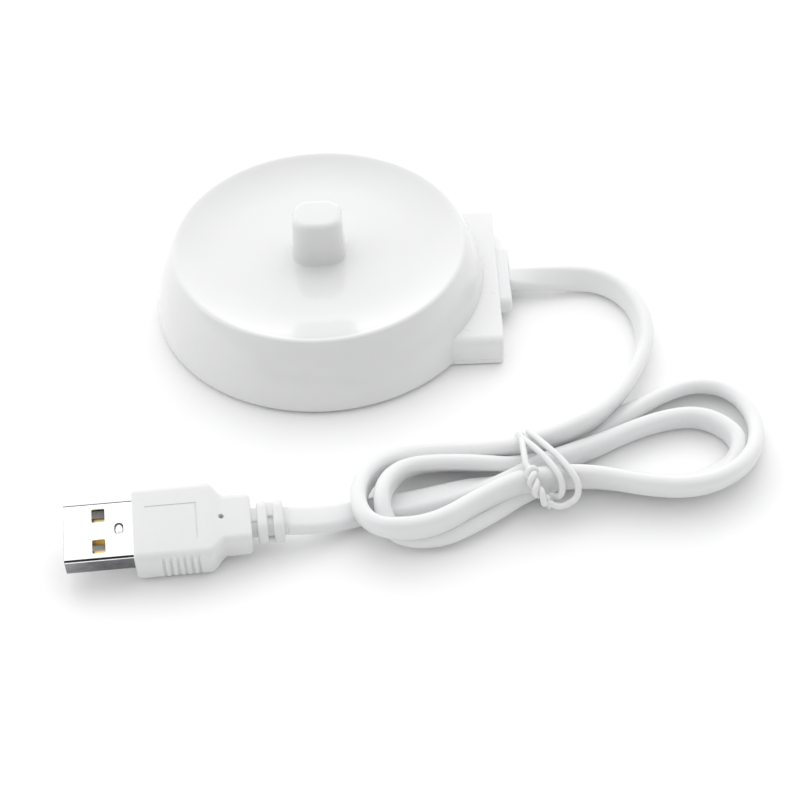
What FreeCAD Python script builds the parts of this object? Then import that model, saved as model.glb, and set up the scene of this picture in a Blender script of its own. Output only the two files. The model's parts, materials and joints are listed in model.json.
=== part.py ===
import FreeCAD, Part
import math
import os
import re
import Sketcher
from FreeCAD import Placement, Rotation, Vector

# An inductive charging base for an electric toothbrush, with a flat USB lead.
# Millimetres, +Z up. The origin is on the axis of the charging post, on the surface the feet stand on.
# The cable leaves towards +X.

SIZES = {
    # round body
    "floor_gap": 0.0,
    "body_height": 15.7,
    "foot_radius": 33.0,
    "foot_round": 1.5,
    "widest_radius": 34.1,
    "widest_height": 1.4,
    "wall_round": 29.0,
    "rim_shoulder_radius": 30.1,
    "rim_shoulder_height": 15.2,
    "rim_crest_radius": 29.3,
    "rim_round": 0.9,
    "dish_edge_radius": 28.9,
    "dish_edge_height": 15.6,
    "dish_round": 23.3,
    "dish_flat_radius": 19.0,
    "dish_floor": 13.4,
    "ceiling": 11.6,
    "ceiling_radius": 29.6,
    "inner_radius": 31.8,
    "inner_lip": 4.0,
    # charging post
    "post_top": 23.3,
    "post_half_width": 5.45,
    "post_half_depth": 5.3,
    "post_corner": 4.0,
    "post_top_half_width": 5.0,
    "post_top_half_depth": 4.6,
    "post_top_corner": 3.4,
    "post_edge_round": 1.4,
    "post_bore_radius": 3.4,
    "post_bore_top": 21.9,
    # bottom cover, its screws and feet
    "cover_radius": 31.7,
    "cover_top": 2.0,
    "boss_radius": 3.6,
    "boss_top": 3.4,
    "screw_circle": 24.0,
    "screw_head_radius": 2.0,
    "screw_head_bottom": 0.7,
    "screw_radius": 1.0,
    "screw_end": 8.6,
    "foot_pad_radius": 3.5,
    "foot_pad_top": 0.6,
    # block at the side, where the cable enters
    "block_start": 20.0,
    "block_side": 36.4,
    "block_front": 21.7,
    "block_back": 20.3,
    "block_top": 6.4,
    "block_parting": 1.3,
    "block_round": 1.4,
    "block_roof": 5.2,
    # cable and its grommet
    "cable_width": 5.4,
    "cable_thickness": 3.1,
    "cable_height": 3.3,
    "cable_inner_end": 23.0,
    "cable_radius": 2.2,
    "grommet_half_length": 9.0,
    "grommet_round": 1.9,
    "grommet_back": 34.4,
    "grommet_face": 38.6,
    # coil in the post
    "ferrite_radius": 2.2,
    "ferrite_top": 21.6,
    "bobbin_tube_radius": 3.2,
    "bobbin_flange_radius": 8.8,
    "bobbin_flange": 0.8,
    "coil_radius": 8.2,
    # circuit board
    "board_bottom": 4.4,
    "board_top": 5.6,
    "board_radius": 28.6,
    "board_hole_radius": 9.4,
    "board_edge": 21.0,
    "board_post_offset": 19.0,
    "board_screw_radius": 0.8,
    # hank and tie
    "hank_height": 9.0,
    "waist_x": 41.8,
    "waist_near": -63.6,
    "waist_far": -45.4,
    "waist_top": 8.2,
    "tie_thickness": 1.3,
    "tie_half_width": 3.4,
    # plug
    "plug_yaw": 4.5,
    "plug_pitch": 1.0,
    "plug_roll": 12.5,
    "plug_x": -46.8,
    "plug_y": -69.5,
    "plug_z": 5.76,
    "shell_half_width": 6.0,
    "shell_half_height": 2.25,
    "shell_corner": 0.6,
    "shell_inner_half_width": 5.7,
    "shell_inner_half_height": 1.95,
    "shell_inner_corner": 0.3,
    "shell_end": 18.6,
    "grip_start": 12.6,
    "grip_end": 26.8,
    "grip_half_width": 7.8,
    "grip_half_height": 4.0,
    "grip_corner": 2.0,
    "neck_start": 29.6,
    "neck_end": 34.9,
    "neck_half_width": 5.3,
    "neck_half_height": 3.4,
    "neck_corner": 1.8,
    "relief_core_radius": 2.4,
    "relief_end": 40.9,
    "ring_half_width": 3.9,
    "ring_half_height": 3.2,
    "ring_corner": 2.8,
    "ring_thickness": 1.8,
    "ring_pitch": 3.0,
    "mould_half_width": 4.6,
    "mould_half_height": 1.9,
    "mould_end": 27.4,
    "tongue": 1.8,
    "contact_width": 1.0,
    "contact_pitch": 2.25,
}

doc = FreeCAD.newDocument("toothbrush_charger")
sheet = doc.addObject("Spreadsheet::Sheet", "Sizes")
for row, (alias, value) in enumerate(SIZES.items(), start=1):
    sheet.set("A%d" % row, alias)
    sheet.set("B%d" % row, str(value))
    sheet.setAlias("B%d" % row, alias)
doc.recompute()

nodes = {}


def number(formula):
    """The value of a sum of terms, each a product of sizes and plain numbers: "a - 2*b"."""
    total = 0.0
    sign = 1.0
    for word in str(formula).split():
        if word in ("+", "-"):
            sign = 1.0 if word == "+" else -1.0
            continue
        term = sign
        for factor in word.split("*"):
            term *= SIZES[factor] if factor in SIZES else float(factor)
        total += term
        sign = 1.0
    return total


def bind(thing, prop, formula):
    """Ties a property or a sketch constraint to the sheet."""
    thing.setExpression(prop, re.sub(r"[a-z_]+", lambda m: "Sizes." + m.group(0), str(formula)))


def keep(name, thing):
    """Makes a document object one of the pieces that are written out."""
    thing.Label = name
    nodes[name] = thing
    return thing


# Sketches


def sketch_on(body, role, name, offset="0"):
    sketch = body.newObject("Sketcher::SketchObject", name)
    plane = next(f for f in body.Origin.OriginFeatures if f.Role == role)
    sketch.AttachmentSupport = [(plane, "")]
    sketch.MapMode = "FlatFace"
    bind(sketch, ".AttachmentOffset.Base.z", offset)
    return sketch


def fix_point(sketch, edge, end, x, y):
    for kind, formula in (("DistanceX", x), ("DistanceY", y)):
        index = sketch.addConstraint(Sketcher.Constraint(kind, -1, 1, edge, end, number(formula)))
        bind(sketch, "Constraints[%d]" % index, formula)


def outline(sketch, start, *steps):
    """A closed outline of steps.

    A step is (x, y), a line, or (x, y, radius, turn), an arc that turns left (1) or right (-1).
    """
    first = sketch.GeometryCount
    here = start
    for step in steps:
        p = Vector(number(here[0]), number(here[1]), 0)
        q = Vector(number(step[0]), number(step[1]), 0)
        if len(step) == 2:
            edge = sketch.addGeometry(Part.LineSegment(p, q), False)
        else:
            radius = number(step[2])
            chord = q - p
            side = Vector(-chord.y, chord.x, 0).normalize() * step[3]
            rise = math.sqrt(radius**2 - chord.Length**2 / 4)
            middle = (p + q) / 2 + side * (rise - radius)
            edge = sketch.addGeometry(Part.Arc(p, middle, q), False)
            index = sketch.addConstraint(Sketcher.Constraint("Radius", edge, radius))
            bind(sketch, "Constraints[%d]" % index, step[2])
        here = step
    here = start
    for place, step in enumerate(steps):
        edge = first + place
        # an arc is stored anticlockwise, so one that turns right starts at its second end
        backwards = len(step) == 4 and step[3] < 0
        fix_point(sketch, edge, 2 if backwards else 1, here[0], here[1])
        follows = steps[(place + 1) % len(steps)]
        next_edge = first + (place + 1) % len(steps)
        next_end = 2 if len(follows) == 4 and follows[3] < 0 else 1
        end = 1 if backwards else 2
        sketch.addConstraint(Sketcher.Constraint("Coincident", edge, end, next_edge, next_end))
        here = step


def rectangle(sketch, x0, y0, x1, y1):
    outline(sketch, (x0, y0), (x1, y0), (x1, y1), (x0, y1), (x0, y0))


def rounded_rectangle(sketch, half_x, half_y, corner, x="0", y="0"):
    left, right = "%s - %s" % (x, half_x), "%s + %s" % (x, half_x)
    low, high = "%s - %s" % (y, half_y), "%s + %s" % (y, half_y)
    outline(
        sketch,
        ("%s + %s" % (left, corner), low),
        ("%s - %s" % (right, corner), low),
        (right, "%s + %s" % (low, corner), corner, 1),
        (right, "%s - %s" % (high, corner)),
        ("%s - %s" % (right, corner), high, corner, 1),
        ("%s + %s" % (left, corner), high),
        (left, "%s - %s" % (high, corner), corner, 1),
        (left, "%s + %s" % (low, corner)),
        ("%s + %s" % (left, corner), low, corner, 1),
    )


def slot(sketch, half_length, half_height, x="0", y="0"):
    """A rectangle with round ends, long along the sketch's first axis."""
    left = "%s - %s + %s" % (x, half_length, half_height)
    right = "%s + %s - %s" % (x, half_length, half_height)
    low, high = "%s - %s" % (y, half_height), "%s + %s" % (y, half_height)
    outline(
        sketch,
        (left, low),
        (right, low),
        ("%s + %s" % (x, half_length), y, half_height, 1),
        (right, high, half_height, 1),
        (left, high),
        ("%s - %s" % (x, half_length), y, half_height, 1),
        (left, low, half_height, 1),
    )


def circle(sketch, x, y, radius):
    shape = Part.Circle(Vector(number(x), number(y), 0), Vector(0, 0, 1), number(radius))
    edge = sketch.addGeometry(shape, False)
    index = sketch.addConstraint(Sketcher.Constraint("Radius", edge, number(radius)))
    bind(sketch, "Constraints[%d]" % index, radius)
    fix_point(sketch, edge, 3, x, y)


def around(distance, count, first_angle):
    """Formulas of points spaced evenly round the origin, at a distance that is a size."""
    for k in range(count):
        angle = math.radians(first_angle + 360.0 * k / count)
        yield "%.6f*%s" % (math.cos(angle), distance), "%.6f*%s" % (math.sin(angle), distance)


# Features


def new_body(name):
    return keep(name, doc.addObject("PartDesign::Body", name))


def feature(body, kind, sketch, **settings):
    made = body.newObject("PartDesign::" + kind, sketch.Name + "_" + kind.lower())
    made.Profile = sketch
    for prop, value in settings.items():
        setattr(made, prop, value)
    return made


def extrude(body, kind, sketch, length, backwards=False):
    """A Pad along the sketch's normal, or against it if backwards, or a Pocket the other way."""
    before = body.Shape.Volume if body.Shape.isNull() is False else 0.0
    made = feature(body, kind, sketch, Reversed=backwards)
    bind(made, "Length", length)
    doc.recompute()
    changed = made.Shape.Volume - before
    if (kind == "Pad") != (changed > 1e-3) or abs(changed) < 1e-3:
        raise RuntimeError("%s %s changed the volume by %.3f" % (body.Label, made.Name, changed))
    return made


def turn(body, kind, sketch):
    """A Revolution or a Groove, a full turn about the vertical axis."""
    made = feature(body, kind, sketch, ReferenceAxis=(sketch, ["V_Axis"]), Angle=360.0)
    doc.recompute()
    return made


def soften(body, kind, size, wanted):
    """A Fillet or a Chamfer on the tip's edges that wanted(edge) picks."""
    tip = body.Tip
    names = ["Edge%d" % (i + 1) for i, edge in enumerate(tip.Shape.Edges) if wanted(edge)]
    made = body.newObject("PartDesign::" + kind, body.Name + "_" + kind.lower() + "_%d" % len(body.Group))
    made.Base = (tip, names)
    bind(made, "Radius" if kind == "Fillet" else "Size", size)
    doc.recompute()
    return made


def edge_at(x=None, y=None, z=None):
    """Picks edges that lie wholly at the given coordinates."""

    def wanted(edge):
        box = edge.BoundBox
        spans = ((x, box.XMin, box.XMax), (y, box.YMin, box.YMax), (z, box.ZMin, box.ZMax))
        return all(at is None or max(abs(low - at), abs(high - at)) < 1e-4 for at, low, high in spans)

    return wanted


# Primitives


def place(thing, x, y, z):
    for axis, formula in (("x", x), ("y", y), ("z", z)):
        bind(thing, ".Placement.Base." + axis, formula)


def cylinder(name, radius, length, x, y, z):
    made = doc.addObject("Part::Cylinder", name)
    bind(made, "Radius", radius)
    bind(made, "Height", length)
    place(made, x, y, z)
    return made


def block(name, length, width, height, x, y, z):
    made = doc.addObject("Part::Box", name)
    bind(made, "Length", length)
    bind(made, "Width", width)
    bind(made, "Height", height)
    place(made, x, y, z)
    return made


def cut(name, base, tool):
    made = doc.addObject("Part::Cut", name)
    made.Base = base
    made.Tool = tool
    return made


def fuse(name, shapes):
    made = doc.addObject("Part::MultiFuse", name)
    made.Shapes = shapes
    return made


def group(name, members):
    """Identical small pieces that share one node, as separate solids."""
    made = doc.addObject("Part::Compound", name)
    made.Links = members
    return keep(name, made)


# Cable tubes


def route_wire(points):
    """Straight runs joined by tangent arcs, each as large as its runs allow; also the radii."""
    corners = [Vector(*p) for p in points]
    edges, radii = [], []
    here = corners[0]
    for before, corner, after in zip(corners, corners[1:], corners[2:]):
        back = (before - corner).normalize()
        ahead = (after - corner).normalize()
        half_turn = (math.pi - back.getAngle(ahead)) / 2
        reach = 0.45 * min(before.distanceToPoint(corner), corner.distanceToPoint(after))
        radius = reach / math.tan(half_turn)
        start, end = corner + back * reach, corner + ahead * reach
        inward = (back + ahead).normalize()
        middle = corner + inward * (radius / math.cos(half_turn) - radius)
        edges.append(Part.LineSegment(here, start).toShape())
        edges.append(Part.Arc(start, middle, end).toShape())
        radii.append(radius)
        here = end
    edges.append(Part.LineSegment(here, corners[-1]).toShape())
    return Part.Wire(edges), radii


def tube(name, points, radius):
    """A round tube along a route, checked against its section times its length."""
    path, radii = route_wire(points)
    start = Vector(*points[0])
    ring = Part.Wire([Part.Circle(start, Vector(*points[1]) - start, radius).toShape()])
    shape = path.makePipeShell([ring], True, False)
    expected = math.pi * radius**2 * path.Length
    print(
        "%s: length %.1f, volume %.0f of %.0f, arc radii %s"
        % (name, path.Length, shape.Volume, expected, " ".join("%.1f" % r for r in radii))
    )
    if abs(shape.Volume / expected - 1) > 0.02:
        raise RuntimeError(name + " has the wrong volume")
    made = doc.addObject("Part::Feature", name)
    made.Shape = shape
    made.Placement = Placement(Vector(0, 0, 0), Rotation())
    return keep(name, made)


# Round body

SCREW_SPOTS = list(around("screw_circle", 4, 45))
BOARD_SPOTS = [("0", "board_post_offset"), ("0", "-1*board_post_offset")]


def wall_outline(sketch, low):
    """What the outside of the round body fills, above the height low."""
    outline(
        sketch,
        ("0", low),
        ("widest_radius", low),
        ("widest_radius", "widest_height"),
        ("rim_shoulder_radius", "rim_shoulder_height", "wall_round", 1),
        ("0", "rim_shoulder_height"),
        ("0", low),
    )


def make_top_shell():
    """Dish, rim, leaning wall and hollow post in one moulding, with posts for the screws inside."""
    body = new_body("top_shell")
    profile = sketch_on(body, "XZ_Plane", "shell_profile")
    outline(
        profile,
        ("inner_radius", "floor_gap"),
        ("foot_radius", "floor_gap"),
        ("widest_radius", "widest_height", "foot_round", 1),
        ("rim_shoulder_radius", "rim_shoulder_height", "wall_round", 1),
        ("rim_crest_radius", "body_height", "rim_round", 1),
        ("dish_edge_radius", "dish_edge_height", "rim_round", 1),
        ("dish_flat_radius", "dish_floor", "dish_round", -1),
        ("0", "dish_floor"),
        ("0", "ceiling"),
        ("ceiling_radius", "ceiling"),
        ("inner_radius", "inner_lip"),
        ("inner_radius", "floor_gap"),
    )
    turn(body, "Revolution", profile)
    base = sketch_on(body, "XY_Plane", "post_base", "dish_floor - 0.5")
    rounded_rectangle(base, "post_half_width", "post_half_depth", "post_corner")
    top = sketch_on(body, "XY_Plane", "post_crown", "post_top")
    rounded_rectangle(top, "post_top_half_width", "post_top_half_depth", "post_top_corner")
    loft = feature(body, "AdditiveLoft", base, Ruled=True)
    loft.Sections = [top]
    doc.recompute()
    soften(body, "Fillet", "post_edge_round", edge_at(z=number("post_top")))
    bore = sketch_on(body, "XY_Plane", "post_bore", "post_bore_top")
    circle(bore, "0", "0", "post_bore_radius")
    extrude(body, "Pocket", bore, "post_bore_top - ceiling + 1")
    posts = sketch_on(body, "XY_Plane", "screw_posts", "ceiling")
    for x, y in SCREW_SPOTS:
        circle(posts, x, y, "boss_radius")
    extrude(body, "Pad", posts, "ceiling - boss_top", backwards=True)
    pilots = sketch_on(body, "XY_Plane", "screw_pilots", "screw_end + 0.6")
    for x, y in SCREW_SPOTS:
        circle(pilots, x, y, "screw_radius")
    extrude(body, "Pocket", pilots, "screw_end + 0.6 - boss_top")
    stands = sketch_on(body, "XY_Plane", "board_posts", "ceiling")
    for x, y in BOARD_SPOTS:
        circle(stands, x, y, "3*board_screw_radius")
    extrude(body, "Pad", stands, "ceiling - board_top", backwards=True)
    holes = sketch_on(body, "XY_Plane", "board_pilots", "board_top + 4")
    for x, y in BOARD_SPOTS:
        circle(holes, x, y, "board_screw_radius")
    extrude(body, "Pocket", holes, "4")
    window = sketch_on(body, "YZ_Plane", "cable_window", "block_side")
    slot(window, "0.5*cable_width", "0.5*cable_thickness", "0", "cable_height")
    extrude(body, "Pocket", window, "10")


def make_bottom_cover():
    """Round plate that closes the shell from below, with bosses for the screws and the cable clamp."""
    body = new_body("bottom_cover")
    disc = sketch_on(body, "XY_Plane", "cover_disc", "floor_gap")
    circle(disc, "0", "0", "cover_radius")
    extrude(body, "Pad", disc, "cover_top - floor_gap")
    bosses = sketch_on(body, "XY_Plane", "cover_bosses", "cover_top")
    for x, y in SCREW_SPOTS:
        circle(bosses, x, y, "boss_radius")
    extrude(body, "Pad", bosses, "boss_top - cover_top")
    clamp = sketch_on(body, "XY_Plane", "clamp_bosses", "cover_top")
    for y in ("5.2", "-5.2"):
        circle(clamp, "26", y, "1.8")
    extrude(body, "Pad", clamp, "cable_height + 0.5*cable_thickness - cover_top")
    pads = sketch_on(body, "XY_Plane", "foot_recesses", "foot_pad_top")
    heads = sketch_on(body, "XY_Plane", "head_recesses", "cover_top")
    shanks = sketch_on(body, "XY_Plane", "shank_holes", "boss_top")
    for x, y in SCREW_SPOTS:
        circle(pads, x, y, "foot_pad_radius")
        circle(heads, x, y, "screw_head_radius + 0.1")
        circle(shanks, x, y, "screw_radius + 0.1")
    extrude(body, "Pocket", pads, "foot_pad_top")
    extrude(body, "Pocket", heads, "cover_top - foot_pad_top")
    extrude(body, "Pocket", shanks, "boss_top")
    pilots = sketch_on(body, "XY_Plane", "clamp_pilots", "cable_height + 0.5*cable_thickness")
    for y in ("5.2", "-5.2"):
        circle(pilots, "26", y, "0.7")
    extrude(body, "Pocket", pilots, "3.4")
    channel = sketch_on(body, "XY_Plane", "cable_channel", "cover_top")
    rectangle(channel, "cable_inner_end - 1", "-0.5*cable_width", "cover_radius + 1", "0.5*cable_width")
    extrude(body, "Pocket", channel, "0.4")


def make_block(name, low, high):
    """A slab beside the round body, cut to fit against its wall."""
    body = new_body(name)
    slab = sketch_on(body, "XY_Plane", name + "_slab", low)
    rectangle(slab, "block_start", "-1*block_front", "block_side", "block_back")
    extrude(body, "Pad", slab, high + " - " + low)
    return body


def make_rear_block():
    """Flat-topped housing at the side, hollow at both ends, with a slot for the grommet."""
    body = make_block("rear_block", "block_parting", "block_top")
    side = number("block_side")
    front = -number("block_front")
    soften(
        body,
        "Fillet",
        "block_round",
        lambda e: edge_at(x=side, z=number("block_top"))(e) or edge_at(y=front, z=number("block_top"))(e),
    )
    round_body = sketch_on(body, "XZ_Plane", "block_meets_body")
    wall_outline(round_body, "-1")
    turn(body, "Groove", round_body)
    hollows = sketch_on(body, "XY_Plane", "block_hollows", "block_roof")
    rectangle(hollows, "32", "-1*block_front + 1.6", "block_side - 1.6", "-14")
    rectangle(hollows, "32", "14", "block_side - 1.6", "block_back - 1.6")
    extrude(body, "Pocket", hollows, "block_roof")
    window = sketch_on(body, "YZ_Plane", "grommet_window", "block_side + 1")
    slot(window, "grommet_half_length", "grommet_round", "0", "cable_height")
    extrude(body, "Pocket", window, "block_side + 1 - grommet_back")
    passage = sketch_on(body, "YZ_Plane", "cable_passage", "block_side")
    slot(passage, "0.5*cable_width", "0.5*cable_thickness", "0", "cable_height")
    extrude(body, "Pocket", passage, "10")


def make_block_base():
    """Plate that closes the block from below."""
    body = make_block("block_base_plate", "floor_gap", "block_parting")
    side = number("block_side")
    soften(body, "Chamfer", "0.6", edge_at(x=side, z=number("floor_gap")))
    round_body = sketch_on(body, "XZ_Plane", "plate_meets_body")
    wall_outline(round_body, "-1")
    turn(body, "Groove", round_body)


def make_grommet():
    """Oblong boss round the cable, held in the slots of the block."""
    body = new_body("cable_grommet")
    section = sketch_on(body, "YZ_Plane", "grommet_section", "grommet_back")
    slot(section, "grommet_half_length", "grommet_round", "0", "cable_height")
    extrude(body, "Pad", section, "grommet_face - grommet_back")
    face = number("grommet_face")
    soften(body, "Fillet", "0.7", edge_at(x=face))
    passage = sketch_on(body, "YZ_Plane", "grommet_passage", "grommet_face + 1")
    slot(passage, "0.5*cable_width", "0.5*cable_thickness", "0", "cable_height")
    extrude(body, "Pocket", passage, "grommet_face + 2 - grommet_back")


def make_seal():
    ring = doc.addObject("Part::Torus", "sealing_ring")
    bind(ring, "Radius1", "inner_radius - 0.8")
    bind(ring, "Radius2", "0.7")
    place(ring, "0", "0", "cover_top + 0.7")
    keep("sealing_ring", ring)


def make_feet_and_screws():
    feet, screws = [], []
    for k, (x, y) in enumerate(SCREW_SPOTS):
        feet.append(cylinder("foot_%d" % k, "foot_pad_radius", "foot_pad_top", x, y, "0"))
        depth = "cover_top - screw_head_bottom"
        head = cylinder("head_%d" % k, "screw_head_radius", depth, x, y, "screw_head_bottom")
        shank = cylinder("shank_%d" % k, "screw_radius", "screw_end - cover_top", x, y, "cover_top")
        drive = block("drive_%d" % k, "0.5", "2.4", "0.5", x + " - 0.25", y + " - 1.2", "screw_head_bottom")
        screws.append(cut("screw_%d" % k, fuse("screw_blank_%d" % k, [head, shank]), drive))
    group("foot_pads", feet)
    group("cover_screws", screws)


# Charging coil


def make_ferrite_core():
    rod = cylinder("ferrite_core", "ferrite_radius", "ferrite_top - cover_top", "0", "0", "cover_top")
    keep("ferrite_core", rod)


def make_bobbin():
    """Spool: a tube round the ferrite that reaches up the post, with two flanges."""
    body = new_body("coil_bobbin")
    profile = sketch_on(body, "XZ_Plane", "bobbin_profile")
    outline(
        profile,
        ("ferrite_radius", "cover_top"),
        ("bobbin_flange_radius", "cover_top"),
        ("bobbin_flange_radius", "cover_top + bobbin_flange"),
        ("bobbin_tube_radius", "cover_top + bobbin_flange"),
        ("bobbin_tube_radius", "ceiling - bobbin_flange"),
        ("bobbin_flange_radius", "ceiling - bobbin_flange"),
        ("bobbin_flange_radius", "ceiling"),
        ("bobbin_tube_radius", "ceiling"),
        ("bobbin_tube_radius", "ferrite_top - 1"),
        ("ferrite_radius", "ferrite_top - 1"),
        ("ferrite_radius", "cover_top"),
    )
    turn(body, "Revolution", profile)


def make_coil():
    body = new_body("charging_coil")
    section = sketch_on(body, "XY_Plane", "coil_section", "cover_top + bobbin_flange")
    circle(section, "0", "0", "coil_radius")
    circle(section, "0", "0", "bobbin_tube_radius")
    extrude(body, "Pad", section, "ceiling - cover_top - 2*bobbin_flange")


# Circuit board and what is on it


def make_board():
    """Round board with a hole for the coil, cut flat on the side where the cable comes in."""
    body = new_body("circuit_board")
    disc = sketch_on(body, "XY_Plane", "board_disc", "board_bottom")
    circle(disc, "0", "0", "board_radius")
    circle(disc, "0", "0", "board_hole_radius")
    extrude(body, "Pad", disc, "board_top - board_bottom")
    holes = sketch_on(body, "XY_Plane", "board_holes", "board_top")
    for x, y in SCREW_SPOTS:
        circle(holes, x, y, "boss_radius + 0.3")
    for x, y in BOARD_SPOTS:
        circle(holes, x, y, "board_screw_radius + 0.1")
    extrude(body, "Pocket", holes, "board_top - board_bottom")
    flat = sketch_on(body, "XY_Plane", "board_flat", "board_top")
    rectangle(flat, "board_edge", "-1*board_radius", "board_radius + 1", "board_radius")
    extrude(body, "Pocket", flat, "board_top - board_bottom")


def make_board_screws():
    screws = []
    for k, (x, y) in enumerate(BOARD_SPOTS):
        head = cylinder("board_head_%d" % k, "2*board_screw_radius", "0.9", x, y, "board_bottom - 0.9")
        shank = cylinder("board_shank_%d" % k, "board_screw_radius", "4.8", x, y, "board_bottom")
        screws.append(fuse("board_screw_%d" % k, [head, shank]))
    group("board_screws", screws)


def make_chip():
    """Driver chip: a flat case with four leads along each long side."""
    case = block("chip_case", "5", "4", "1.4", "-18.5", "-2", "board_top + 0.1")
    leads = [case]
    for k in range(4):
        x = "%.2f" % (-18.15 + 1.27 * k)
        leads.append(block("chip_lead_%d" % k, "0.42", "6", "0.35", x, "-3", "board_top"))
    keep("driver_chip", fuse("driver_chip", leads))


def make_transistors():
    cases = []
    for k, y in enumerate(("-9", "5.8")):
        case = block("transistor_case_%d" % k, "3.4", "3.2", "1.5", "-22.6", y, "board_top")
        tab = block("transistor_tab_%d" % k, "1.2", "2.2", "0.5", "-19.2", y + " + 0.5", "board_top")
        cases.append(fuse("transistor_%d" % k, [case, tab]))
    group("power_transistors", cases)


def make_capacitors():
    films = []
    for k, x in enumerate(("-6.5", "1.5")):
        films.append(block("film_capacitor_%d" % k, "5", "2.6", "4.4", x, "12.6", "board_top"))
    group("resonant_capacitors", films)
    can = cylinder("smoothing_capacitor", "2.5", "5.4", "7.5", "-14.5", "board_top")
    keep("smoothing_capacitor", can)


def make_inductor():
    drum = cylinder("inductor_drum", "2.6", "3", "-6.5", "-14.5", "board_top")
    waist = cylinder("inductor_ring", "3", "2", "-6.5", "-14.5", "board_top + 0.5")
    keep("power_inductor", fuse("power_inductor", [drum, waist]))


def make_resistors():
    chips = []
    for k in range(6):
        y = "%.1f" % (-5 + 2 * k)
        chips.append(block("resistor_%d" % k, "1.6", "0.8", "0.5", "-12.6", y, "board_top"))
    group("chip_resistors", chips)


def make_header():
    """Terminal block that takes the two core wires."""
    case = block("header_case", "4.4", "6.4", "3.2", "14.6", "-3.2", "board_top")
    mouths = [cylinder("header_mouth_%d" % k, "0.75", "2", "0", "0", "0") for k in range(2)]
    for mouth, y in zip(mouths, ("-1.5", "1.5")):
        mouth.Placement = Placement(Vector(0, 0, 0), Rotation(Vector(0, 1, 0), 90))
        place(mouth, "17.4", y, "board_top + 1.5")
    keep("wire_header", cut("wire_header", case, fuse("header_mouths", mouths)))


def make_clamp():
    """Bar over the cable, held down by two screws."""
    bar = block("clamp_bar", "3.4", "14", "1.3", "24.3", "-7", "cable_height + 0.5*cable_thickness")
    holes, screws = [], []
    for k, y in enumerate(("5.2", "-5.2")):
        top = "cable_height + 0.5*cable_thickness + 1.3"
        holes.append(cylinder("clamp_hole_%d" % k, "0.8", "3", "26", y, "cable_height"))
        head = cylinder("clamp_head_%d" % k, "1.4", "0.8", "26", y, top)
        shank = cylinder("clamp_shank_%d" % k, "0.7", "4", "26", y, top + " - 4")
        screws.append(fuse("clamp_screw_%d" % k, [head, shank]))
    keep("cord_clamp", cut("cord_clamp", bar, fuse("clamp_holes", holes)))
    group("clamp_screws", screws)


def make_wires():
    """Two insulated cores from the cable's end to the header, and the coil's two leads to the board."""
    top = number("board_top")
    height = number("cable_height")
    start = number("cable_inner_end")
    for name, side in (("core_wire_red", 1), ("core_wire_black", -1)):
        points = [
            (start, 1.1 * side, height),
            (start - 0.8, 1.15 * side, height + 0.6),
            (start - 1.7, 1.3 * side, height + 2.8),
            (start - 3.4, 1.5 * side, top + 1.5),
            (17.4, 1.52 * side, top + 1.48),
        ]
        tube(name, points, 0.6)
    leads = []
    for k, side in enumerate((1, -1)):
        points = [
            (-7.9 * 0.99, 1.4 * side, 8.4),
            (-10.4, 1.9 * side, 8.2),
            (-11.3, 2.1 * side, 6.8),
            (-11.4, 2.2 * side, top),
        ]
        path, _ = route_wire(points)
        ring = Part.Wire([Part.Circle(Vector(*points[0]), Vector(-1, 0.2 * side, 0), 0.25).toShape()])
        lead = doc.addObject("Part::Feature", "coil_lead_%d" % k)
        lead.Shape = path.makePipeShell([ring], True, False)
        leads.append(lead)
    group("coil_leads", leads)


# Cable outside the body

LEAD_ROUTE = [
    (38.6, 0.0, 3.3),
    (44.2, 0.1, 3.2),
    (50.4, 0.5, 2.8),
    (56.4, 0.1, 2.5),
    (61.4, -3.4, 2.6),
    (64.3, -9.2, 2.8),
    (65.2, -16.0, 2.9),
    (64.4, -22.6, 2.9),
    (61.9, -28.8, 3.2),
    (58.8, -33.8, 4.2),
    (55.8, -38.0, 5.2),
]
PLUG_LEAD_ROUTE = [
    (-6.3, -66.3, 5.0),
    (-2.6, -65.9, 4.3),
    (1.2, -64.9, 3.3),
    (4.9, -63.6, 2.7),
]


def make_cable_inlet():
    """The cable's end inside the body, from the clamp to the face of the grommet."""
    body = new_body("cable_inlet_end")
    section = sketch_on(body, "YZ_Plane", "inlet_section", "cable_inner_end")
    slot(section, "0.5*cable_width", "0.5*cable_thickness", "0", "cable_height")
    extrude(body, "Pad", section, "grommet_face - cable_inner_end")


def make_hank():
    """Outer shape of the hank: two lobes of loops and the narrow waist where the tie holds them."""
    body = new_body("cable_hank")
    shape = sketch_on(body, "XY_Plane", "hank_outline")
    outline(
        shape,
        ("46", "waist_near"),
        ("64", "-65"),
        ("80", "-59", "24", 1),
        ("85.6", "-46.5", "14", 1),
        ("80", "-32.6", "15", 1),
        ("71", "-29.8", "13", 1),
        ("58", "-35.6", "30", 1),
        ("48", "waist_far"),
        ("36", "waist_far"),
        ("20", "-45"),
        ("9", "-49.4", "24", 1),
        ("4", "-59.5", "12", 1),
        ("8", "-70", "12", 1),
        ("17", "-73.2", "13", 1),
        ("27", "-70.6", "22", 1),
        ("37", "waist_near"),
        ("46", "waist_near"),
    )
    extrude(body, "Pad", shape, "hank_height")
    for name, top, depth in (
        ("waist_above", "hank_height", "hank_height - waist_top"),
        ("waist_below", "tie_thickness", "tie_thickness"),
    ):
        recess = sketch_on(body, "XY_Plane", name, top)
        left, right = "waist_x - tie_half_width", "waist_x + tie_half_width"
        rectangle(recess, left, "waist_near - 1", right, "waist_far + 1")
        extrude(body, "Pocket", recess, depth)


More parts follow.
